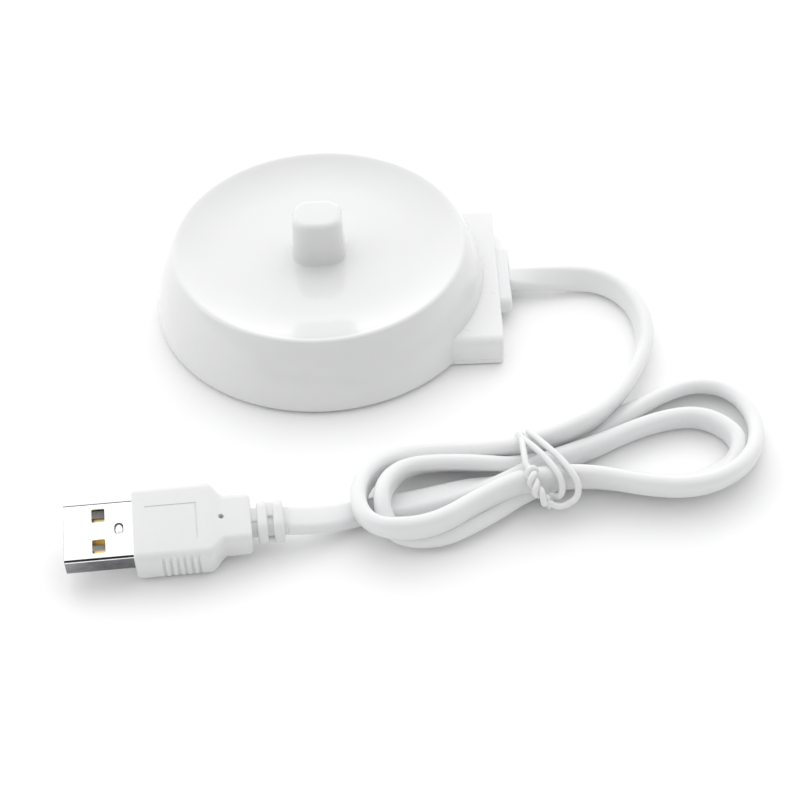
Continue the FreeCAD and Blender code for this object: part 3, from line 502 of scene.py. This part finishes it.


# ---------------------------------------------------------------- cable

# Control points of the cable's line from the boss to the plug: x, y, z in metres, and the roll in degrees
# of its wide side above the horizontal, towards the left of the way it runs. Past the first eight points and
# before the last four, x and y were worked out from places marked on the photograph, at judged heights and
# rolls; some heights were then raised by a formula to clear the floor.
CABLE_ROUTE = [
    (0.03860, 0.00000, 0.00330, 0),
    (0.04420, 0.00010, 0.00320, 30),
    (0.05040, 0.00050, 0.00280, 46),
    (0.05640, 0.00010, 0.00260, 58),
    (0.06140, -0.00340, 0.00270, 70),
    (0.06430, -0.00920, 0.00280, 78),
    (0.06520, -0.01600, 0.00290, 79),
    (0.06440, -0.02260, 0.00290, 74),
    (0.05980, -0.03260, 0.00340, 72),
    (0.05580, -0.03910, 0.00480, 72),
    (0.05190, -0.04430, 0.00630, 76),
    (0.04800, -0.04720, 0.00680, 82),
    (0.04510, -0.04880, 0.00670, 84),
    (0.04140, -0.04990, 0.00630, 84),
    # outer loop on the left
    (0.03700, -0.05040, 0.00500, 76),
    (0.03090, -0.04900, 0.00330, 60),
    (0.02440, -0.04810, 0.00270, 55),
    (0.01910, -0.04860, 0.00300, 57),
    (0.01470, -0.05040, 0.00380, 72),
    (0.01090, -0.05310, 0.00470, 90),
    (0.00810, -0.05700, 0.00560, 92),
    (0.00680, -0.06120, 0.00610, 92),
    (0.00690, -0.06520, 0.00640, 95),
    (0.00850, -0.06860, 0.00660, 110),
    (0.01120, -0.07040, 0.00660, 114),
    (0.01430, -0.07060, 0.00640, 104),
    (0.01750, -0.07040, 0.00620, 98),
    (0.02060, -0.06950, 0.00610, 95),
    (0.02380, -0.06790, 0.00610, 94),
    (0.02710, -0.06550, 0.00600, 94),
    (0.03040, -0.06340, 0.00600, 93),
    (0.03370, -0.06150, 0.00600, 92),
    (0.03700, -0.06010, 0.00610, 90),
    (0.04070, -0.05960, 0.00620, 90),
    # outer loop on the right
    (0.04590, -0.05900, 0.00600, 94),
    (0.04980, -0.05900, 0.00580, 102),
    (0.05350, -0.05960, 0.00560, 107),
    (0.05770, -0.06090, 0.00550, 108),
    (0.06190, -0.06190, 0.00550, 108),
    (0.06620, -0.06250, 0.00550, 108),
    (0.07060, -0.06210, 0.00550, 108),
    (0.07430, -0.06060, 0.00540, 108),
    (0.07770, -0.05810, 0.00510, 106),
    (0.08070, -0.05420, 0.00450, 100),
    (0.08250, -0.04960, 0.00350, 88),
    (0.08320, -0.04510, 0.00280, 76),
    (0.08280, -0.04100, 0.00266, 66),
    (0.08130, -0.03700, 0.00257, 56),
    (0.07840, -0.03390, 0.00248, 49),
    (0.07490, -0.03280, 0.00244, 46),
    (0.07110, -0.03300, 0.00244, 46),
    (0.06710, -0.03480, 0.00249, 50),
    (0.06340, -0.03690, 0.00249, 50),
    (0.05950, -0.03910, 0.00226, 35),
    (0.05520, -0.04140, 0.00180, 12),
    (0.05110, -0.04400, 0.00160, 2),
    (0.04720, -0.04620, 0.00190, 4),
    (0.04160, -0.04960, 0.00260, 10),
    # inner loop on the left
    (0.03690, -0.05320, 0.00360, 40),
    (0.03070, -0.05300, 0.00400, 54),
    (0.02550, -0.05260, 0.00420, 54),
    (0.02100, -0.05260, 0.00430, 54),
    (0.01700, -0.05330, 0.00450, 60),
    (0.01390, -0.05560, 0.00500, 76),
    (0.01190, -0.05900, 0.00570, 88),
    (0.01110, -0.06210, 0.00590, 92),
    (0.01120, -0.06470, 0.00540, 100),
    (0.01190, -0.06660, 0.00380, 122),
    (0.01360, -0.06800, 0.00230, 150),
    (0.01650, -0.06880, 0.00197, 160),
    (0.01950, -0.06900, 0.00197, 160),
    (0.02270, -0.06850, 0.00201, 158),
    (0.02590, -0.06710, 0.00217, 150),
    (0.02920, -0.06510, 0.00217, 150),
    (0.03250, -0.06280, 0.00220, 152),
    (0.03570, -0.06050, 0.00250, 155),
    (0.03830, -0.05900, 0.00270, 158),
    (0.04120, -0.05730, 0.00270, 162),
    # inner loop on the right, under the outer one
    (0.04520, -0.05620, 0.00250, 164),
    (0.04830, -0.05590, 0.00210, 164),
    (0.05130, -0.05590, 0.00191, 163),
    (0.05450, -0.05650, 0.00193, 162),
    (0.05830, -0.05730, 0.00193, 162),
    (0.06260, -0.05830, 0.00193, 162),
    (0.06690, -0.05870, 0.00193, 162),
    (0.07080, -0.05810, 0.00193, 162),
    (0.07390, -0.05660, 0.00201, 158),
    (0.07630, -0.05470, 0.00238, 138),
    (0.07810, -0.05260, 0.00270, 108),
    (0.07910, -0.05020, 0.00272, 90),
    (0.07900, -0.04770, 0.00273, 84),
    (0.07740, -0.04510, 0.00273, 80),
    (0.07490, -0.04280, 0.00271, 76),
    (0.07140, -0.04160, 0.00270, 73),
    (0.06760, -0.04190, 0.00270, 71),
    (0.06380, -0.04290, 0.00270, 70),
    (0.06000, -0.04440, 0.00270, 70),
    (0.05610, -0.04630, 0.00270, 72),
    (0.05200, -0.04870, 0.00300, 80),
    (0.04810, -0.05090, 0.00360, 86),
    (0.04550, -0.05240, 0.00400, 90),
    (0.04140, -0.05410, 0.00410, 90),
    # out of the tie, on the surface under the left loops, to the plug
    (0.03760, -0.05610, 0.00360, 84),
    (0.03400, -0.05680, 0.00280, 60),
    (0.03040, -0.05720, 0.00217, 30),
    (0.02650, -0.05780, 0.00171, 8),
    (0.02190, -0.05900, 0.00152, 0),
    (0.01740, -0.06010, 0.00152, 0),
    (0.01290, -0.06090, 0.00152, 0),
    (0.00830, -0.06170, 0.00160, 0),
    (0.00480, -0.06320, 0.00220, -5),
    (0.00120, -0.06480, 0.00320, -10),
    (-0.00260, -0.06590, 0.00430, -12),
    (-0.00630, -0.06630, 0.00500, -12),
]
LINE_STEPS = 6


def make_cable():
    """Flat cable whose wide side turns as it runs: on edge in the loops, flat on the surface elsewhere."""
    line = spline("cable_line", [point[:3] for point in CABLE_ROUTE], LINE_STEPS)
    roll_points = [(point[3] * MM, k * MM, 0) for k, point in enumerate(CABLE_ROUTE)]
    rolls = spline("cable_roll", roll_points, LINE_STEPS)
    section = rounded_ring(CABLE_WIDTH / 2, CABLE_THICKNESS / 2, CABLE_THICKNESS / 2 - 0.12, 7)
    rings = []
    for k, centre in enumerate(line):
        along = (line[min(k + 1, len(line) - 1)] - line[max(k - 1, 0)]).normalized()
        left = Vector((0, 0, 1)).cross(along).normalized()
        up = along.cross(left)
        roll = math.radians(rolls[k].x / MM)
        wide = math.cos(roll) * left + math.sin(roll) * up
        thin = along.cross(wide)
        rings.append([centre / MM + u * wide + v * thin for u, v in section])
    verts, faces = loft(rings)
    cable = piece("charging_cable", verts, faces, cable_white, "cable_white", sharp=80)
    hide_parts("cable_lead", "cable_hank", "plug_lead")
    return cable, line


# ---------------------------------------------------------------- tie

def tube_along(line, radius, sides=14):
    """Round wire along points, its section carried along without twist."""
    rings = []
    across = None
    for k, centre in enumerate(line):
        along = (line[min(k + 1, len(line) - 1)] - line[max(k - 1, 0)]).normalized()
        if across is None:
            across = along.orthogonal()
        across = (across - along * across.dot(along)).normalized()
        other = along.cross(across)
        ring = []
        for side in range(sides):
            turn = 2 * math.pi * side / sides
            ring.append(centre + (across * math.cos(turn) + other * math.sin(turn)) * radius)
        rings.append(ring)
    return loft(rings)


# Control points of the tie's wire in mm: a short strand and two wraps round the waist of the bundle
TIE_WRAPS = [
    (38.9, -60.1, 9.4), (38.0, -59.7, 9.4), (37.8, -57.5, 9.6), (37.7, -55.0, 9.5), (37.7, -52.2, 9.0),
    (37.3, -48.8, 7.4), (37.1, -47.6, 5.4), (37.3, -46.9, 3.0), (37.9, -47.4, 1.1), (38.8, -49.6, 0.66),
    (40.0, -54.0, 0.66), (41.2, -58.6, 0.66), (42.0, -61.6, 0.90), (42.2, -63.0, 2.4), (42.1, -61.9, 4.6),
    (43.1, -62.7, 4.6), (43.9, -63.3, 5.2), (44.5, -62.9, 6.5), (44.2, -61.6, 8.4), (43.2, -60.0, 9.2),
    (41.8, -57.6, 9.6), (39.9, -54.8, 9.6), (38.3, -52.5, 9.2), (37.4, -50.4, 8.4), (37.9, -48.0, 6.4),
    (38.2, -47.0, 4.4), (38.9, -46.6, 3.4), (39.5, -47.0, 4.8), (39.3, -47.8, 6.8), (39.0, -49.3, 8.4),
    (40.3, -51.6, 9.2), (42.0, -54.4, 9.6), (44.1, -57.3, 9.7), (45.9, -60.4, 9.3), (47.1, -62.1, 8.2),
    (47.4, -63.0, 6.8), (47.0, -63.9, 5.4), (45.7, -64.4, 4.5), (44.0, -64.8, 4.0), (42.5, -64.5, 4.3),
    (41.4, -64.2, 5.0),
]
TIE_PIGTAIL = [
    (41.4, -64.2, 5.0), (40.4, -64.1, 6.4), (39.5, -63.3, 7.4), (38.9, -62.1, 8.4), (38.6, -60.9, 9.2),
    (38.9, -59.8, 9.0), (39.4, -59.2, 8.2),
]


def twisted(points, turns, phase, spread):
    """One strand of a twisted pair, which winds round the line through the points."""
    line = spline("pigtail", [Vector(p) * MM for p in points], 10)
    strand = []
    across = (line[1] - line[0]).orthogonal().normalized()
    for k, centre in enumerate(line):
        along = (line[min(k + 1, len(line) - 1)] - line[max(k - 1, 0)]).normalized()
        across = (across - along * across.dot(along)).normalized()
        other = along.cross(across)
        turn = phase + 2 * math.pi * turns * k / (len(line) - 1)
        strand.append(centre + (across * math.cos(turn) + other * math.sin(turn)) * spread)
    return strand


def make_tie():
    """Plastic-coated wire, twice round the bundle, its two ends twisted together in front."""
    wraps = spline("tie_wraps", [Vector(p) * MM for p in TIE_WRAPS], 8)
    lines = [wraps]
    for phase in (0.0, math.pi):
        lines.append(twisted(TIE_PIGTAIL, 2.1, phase, 0.92 * TIE_RADIUS * MM))
    verts, faces = [], []
    for line in lines:
        more, skin = tube_along(line, TIE_RADIUS * MM)
        faces += [tuple(k + len(verts) for k in face) for face in skin]
        verts += [v / MM for v in more]
    made = piece("bundle_tie", verts, faces, tie_white, "tie_white", sharp=60)
    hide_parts("cable_tie")
    return made


# ---------------------------------------------------------------- plug

PLUG = Matrix.Translation(Vector(plug_tip) / MM)
for angle, axis in zip(PLUG_TURN, "ZYX"):
    PLUG = PLUG @ Matrix.Rotation(math.radians(angle), 4, axis)


def join(*skins):
    verts, faces = [], []
    for more, skin in skins:
        faces += [tuple(k + len(verts) for k in face) for face in skin]
        verts += list(more)
    return verts, faces


def plug_rings(sections, steps=8):
    """Rings across the plug's axis; a section is x, half width, half height, corner and a groove's depth."""
    groove_from = 0.7
    rings = []
    for x, half_y, half_z, corner, *groove in sections:
        ring = []
        for u, v in rounded_ring(half_y, half_z, corner, steps):
            if groove and abs(u) > groove_from * half_y:
                share = min(max((half_z - abs(v)) / corner, 0.0), 1.0)
                u -= math.copysign(groove[0] * share * share * (3 - 2 * share), u)
            ring.append(PLUG @ Vector((x, u, v)))
        rings.append(ring)
    return rings


def rounded_end(x, half_y, half_z, corner, edge, outward, steps=5, rise=1.0):
    """Sections of a rounded end at x, which faces along the axis (1) or against it (-1)."""
    sections = []
    for step in range(steps + 1):
        turn = math.radians(90) * step / steps
        inset = edge * (1 - math.sin(turn))
        back = edge * (1 - math.cos(turn))
        sections.append((x - outward * back, half_y - inset, half_z - rise * inset, max(corner - inset, 0.3)))
    return sections[::-1] if outward > 0 else sections


def cutter(verts, faces):
    mesh = bpy.data.meshes.new("cutter")
    mesh.from_pydata([Vector(v) * MM for v in verts], [], faces)
    shape = bmesh.new()
    shape.from_mesh(mesh)
    bmesh.ops.recalc_face_normals(shape, faces=shape.faces)
    shape.to_mesh(mesh)
    shape.free()
    tool = bpy.data.objects.new("cutter", mesh)
    bpy.context.collection.objects.link(tool)
    return tool


def carve(made, tools):
    """Takes the tools' shapes out of a piece's mesh for good."""
    for tool in tools:
        step = made.modifiers.new("carve", "BOOLEAN")
        step.operation = "DIFFERENCE"
        step.solver = "EXACT"
        step.object = tool
    bpy.context.view_layer.update()
    ready = bpy.data.meshes.new_from_object(made.evaluated_get(bpy.context.evaluated_depsgraph_get()))
    made.modifiers.clear()
    made.data = ready
    for tool in tools:
        bpy.data.objects.remove(tool)


def add_skin(made, verts, faces):
    """Adds a closed skin to a piece's mesh."""
    extra = bpy.data.meshes.new("extra")
    extra.from_pydata([Vector(v) * MM for v in verts], [], faces)
    shape = bmesh.new()
    shape.from_mesh(made.data)
    shape.from_mesh(extra)
    bmesh.ops.recalc_face_normals(shape, faces=shape.faces)
    shape.to_mesh(made.data)
    shape.free()
    bpy.data.meshes.remove(extra)
    made.data.polygons.foreach_set("use_smooth", [True] * len(made.data.polygons))


def plug_box(x0, x1, y0, y1, z0, z1):
    corners = [(x, y, z) for x in (x0, x1) for y in (y0, y1) for z in (z0, z1)]
    verts = [PLUG @ Vector(c) for c in corners]
    return verts, [(0, 1, 3, 2), (4, 6, 7, 5), (0, 4, 5, 1), (2, 3, 7, 6), (0, 2, 6, 4), (1, 5, 7, 3)]


def ball(centre, radii, rows=12, columns=20):
    rings = []
    for row in range(1, rows):
        tilt = math.pi * row / rows
        ring = []
        for column in range(columns):
            turn = 2 * math.pi * column / columns
            ring.append(PLUG @ Vector((
                centre[0] + radii[0] * math.sin(tilt) * math.cos(turn),
                centre[1] + radii[1] * math.sin(tilt) * math.sin(turn),
                centre[2] + radii[2] * math.cos(tilt),
            )))
        rings.append(ring)
    return loft(rings)


def make_overmould():
    """Moulded grip with finger ribs at its sides, a neck, and a strain relief of two rings."""
    grip_y, grip_z, corner = 7.8, 4.0, 1.7
    front, grip_end, neck_start, neck_end = 12.6, 26.3, 29.1, 34.0
    neck_y, neck_z, neck_corner = 5.1, 3.4, 1.5
    sections = rounded_end(front, grip_y, grip_z, corner, 0.9, -1, rise=0.4)
    sections += [(16.6, grip_y, grip_z, corner, 0.0)]
    ribs, first_rib, pitch, groove = 6, 17.5, 1.27, 0.42
    for rib in range(ribs):
        start = first_rib + rib * pitch
        for along, depth in ((0.0, 0.0), (0.13, 0.75), (0.3, 1.0), (0.47, 0.75), (0.6, 0.0), (0.93, 0.0)):
            sections.append((start + along, grip_y, grip_z, corner, groove * depth))
    shoulder_steps = 10
    for step in range(shoulder_steps + 1):
        share = step / shoulder_steps
        ease = share * share * (3 - 2 * share)
        mixed = 0.45 * share + 0.55 * ease
        sections.append((
            grip_end + (neck_start - grip_end) * share,
            grip_y + (neck_y - grip_y) * mixed,
            grip_z + (neck_z - grip_z) * mixed,
            corner + (neck_corner - corner) * mixed,
        ))
    sections += rounded_end(neck_end, neck_y, neck_z, neck_corner, 1.2, 1, rise=0.45)
    made = piece("plug_grip", *loft(plug_rings(sections)), plug_white, "plug_white")
    line, depth, above = 0.28, 0.13, 1.0
    carve(made, [
        cutter(*ball((28.6, 0.15, 3.5), (0.5, 0.5, 1.6))),
        cutter(*plug_box(14.9, 24.1, 3.0, 3.0 + line, grip_z - depth, grip_z + above)),
        cutter(*plug_box(24.0, 24.0 + line, -4.2, 3.0 + line, grip_z - depth, grip_z + above)),
    ])
    core = [(33.4, 2.6, 1.95, 1.8), (40.6, 2.6, 1.95, 1.8), (40.95, 2.3, 1.65, 1.5)]
    skins = [loft(plug_rings(core))]
    for middle in (36.0, 38.95):
        ring = rounded_end(middle - 0.95, 3.75, 3.1, 2.4, 0.55, -1)
        ring += rounded_end(middle + 0.95, 3.75, 3.1, 2.4, 0.55, 1)
        skins.append(loft(plug_rings(ring)))
    bridge_y, bridge_z = 1.5, 0.75
    for x0, x1, y, z in ((33.6, 35.4, 0.6, 1.6), (36.5, 38.4, 1.4, 1.8), (36.5, 38.4, -1.6, -1.8)):
        section = rounded_ring(bridge_y, bridge_z, 0.4, 4)
        skins.append(loft([[PLUG @ Vector((x, y + u, z + v)) for u, v in section] for x in (x0, x1)]))
    add_skin(made, *join(*skins))
    made.data.set_sharp_from_angle(angle=math.radians(40))
    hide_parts("plug_overmould")
    return made


def make_metal_shell():
    """Folded steel tube with two spring windows in each broad side and a latch dimple."""
    half_y, half_z, corner, wall = 6.0, 2.25, 0.55, 0.3
    depth = 18.4
    outside = rounded_end(0.0, half_y, half_z, corner, 0.12, -1, 3) + [(depth, half_y, half_z, corner)]
    inside = [
        (depth, half_y - wall, half_z - wall, corner - 0.25),
        (0.1, half_y - wall, half_z - wall, corner - 0.25),
    ]
    rings = plug_rings(outside + inside)
    verts, faces = loft(rings, closed=True)
    made = piece("plug_metal_shell", verts, faces, plug_steel, "plug_steel")
    window_x, window_y, half_long, half_wide = 6.3, 3.2, 1.2, 1.42
    reach_z = 3.0
    tools = []
    for side in (window_y, -window_y):
        section = [(u + window_x, v + side) for u, v in rounded_ring(half_long, half_wide, 0.3, 4)]
        window = [[PLUG @ Vector((x, y, z)) for x, y in section] for z in (-reach_z, reach_z)]
        tools.append(cutter(*loft(window)))
    dimple_x, dimple_y = 10.0, 0.15
    oval = [(u + dimple_x, v + dimple_y) for u, v in rounded_ring(0.82, 1.2, 0.8, 6)]
    tools.append(cutter(*loft([[PLUG @ Vector((x, y, z)) for x, y in oval] for z in (1.5, reach_z)])))
    carve(made, tools)
    add_skin(made, *ball((dimple_x, dimple_y, half_z - 0.42), (0.72, 1.08, 0.36)))
    made.data.set_sharp_from_angle(angle=math.radians(35))
    made.data.materials.append(side_painted_reflection)
    made.data.materials.append(edge_painted_shade)
    inverse = PLUG.inverted()
    turn = inverse.to_3x3()
    side_tilt = 84
    edge_tilts = (8, 60)
    mouth = 0.13
    # The narrow sides get painted dark reflection; their rounded corners and the mouth's front lip get
    # near-black painted shade.
    for face in made.data.polygons:
        normal = turn @ face.normal
        place = inverse @ (face.center / MM)
        tilt = math.degrees(math.atan2(abs(normal.y), abs(normal.z)))
        outer = abs(place.y) > half_y - corner - 0.05 or place.x < mouth
        if outer and tilt > side_tilt:
            face.material_index = 1
        elif outer and (edge_tilts[0] < tilt < edge_tilts[1] or normal.x < -0.3):
            face.material_index = 2
    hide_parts("plug_shell")
    return made


# ---------------------------------------------------------------- camera, floor and light

def make_camera():
    """Camera at the photograph's viewing angle, with numbers from a fit to the outlines of body and plug."""
    aim = Vector((15.18, -30.87, 0.0)) * MM
    distance = 395.85 * MM
    elevation = math.radians(44.4835)
    roll = math.radians(2.3657)
    ahead = Vector((0, math.cos(elevation), -math.sin(elevation)))
    right = Vector((1, 0, 0))
    up = right.cross(ahead)
    side = math.cos(roll) * right - math.sin(roll) * up
    top = math.sin(roll) * right + math.cos(roll) * up
    data = bpy.data.cameras.new("camera")
    data.sensor_width = 36.0
    data.lens = 90.05
    data.clip_start = 0.01
    data.clip_end = 10.0
    camera = bpy.data.objects.new("camera", data)
    turn = Matrix((side, top, -ahead)).transposed()
    camera.matrix_world = Matrix.Translation(aim - ahead * distance) @ turn.to_4x4()
    bpy.context.collection.objects.link(camera)
    bpy.context.scene.camera = camera


def make_floor():
    material = bpy.data.materials.new("floor_pale")
    material.use_nodes = True
    tree, shader = nodes_of(material)
    shade = tint(tree, noise(tree, 40, 3, 0, 1), (0.93, 0.93, 0.93), (0.95, 0.95, 0.95))
    tree.links.new(shade, shader.inputs["Base Color"])
    shader.inputs["Roughness"].default_value = 0.9
    shader.inputs["Specular IOR Level"].default_value = 0.1
    mesh = bpy.data.meshes.new("floor")
    far = 3.0
    mesh.from_pydata([(-far, -far, 0), (far, -far, 0), (far, far, 0), (-far, far, 0)], [], [(0, 1, 2, 3)])
    mesh.materials.append(material)
    floor = bpy.data.objects.new("floor", mesh)
    floor.location.z = -0.0002
    bpy.context.collection.objects.link(floor)


def soft_light(name, place, size, power, mirrored=True, aim=(0.015, -0.03, 0.0)):
    data = bpy.data.lights.new(name, "AREA")
    data.shape = "RECTANGLE"
    data.size, data.size_y = size
    data.energy = power
    light = bpy.data.objects.new(name, data)
    light.location = place
    light.visible_glossy = mirrored
    light.rotation_euler = (Vector(aim) - Vector(place)).to_track_quat("-Z", "Y").to_euler()
    bpy.context.collection.objects.link(light)


def make_light():
    """Pale sky that brightens smoothly towards the back, and two soft boxes, behind and at the left."""
    world = bpy.data.worlds.new("studio")
    world.use_nodes = True
    tree = world.node_tree
    sky = tree.nodes["Background"]
    place = tree.nodes.new("ShaderNodeTexCoord")
    direction = tree.nodes.new("ShaderNodeVectorMath")
    direction.operation = "DOT_PRODUCT"
    direction.inputs[1].default_value = (0.0, 0.85, 0.3)
    tree.links.new(place.outputs["Generated"], direction.inputs[0])
    spread = tree.nodes.new("ShaderNodeMapRange")
    spread.interpolation_type = "SMOOTHSTEP"
    spread.inputs["From Min"].default_value = -0.3
    spread.inputs["From Max"].default_value = 0.8
    spread.inputs["To Min"].default_value = 0.68
    spread.inputs["To Max"].default_value = 1.5
    tree.links.new(direction.outputs["Value"], spread.inputs["Value"])
    tree.links.new(spread.outputs["Result"], sky.inputs["Color"])
    sky.inputs["Strength"].default_value = 0.99
    bpy.context.scene.world = world
    soft_light("back_softbox", (0.0, 0.55, 0.62), (0.9, 0.6), 1.0, mirrored=False)
    soft_light("left_softbox", (-0.8, -0.1, 0.5), (0.6, 0.6), 0.8)
    bpy.context.scene.view_settings.view_transform = "Standard"


make_camera()
make_floor()
make_light()
dress_cad_nodes()
make_shell()
make_block()
make_boss()
cable, cable_line = make_cable()
make_tie()
make_overmould()
make_metal_shell()
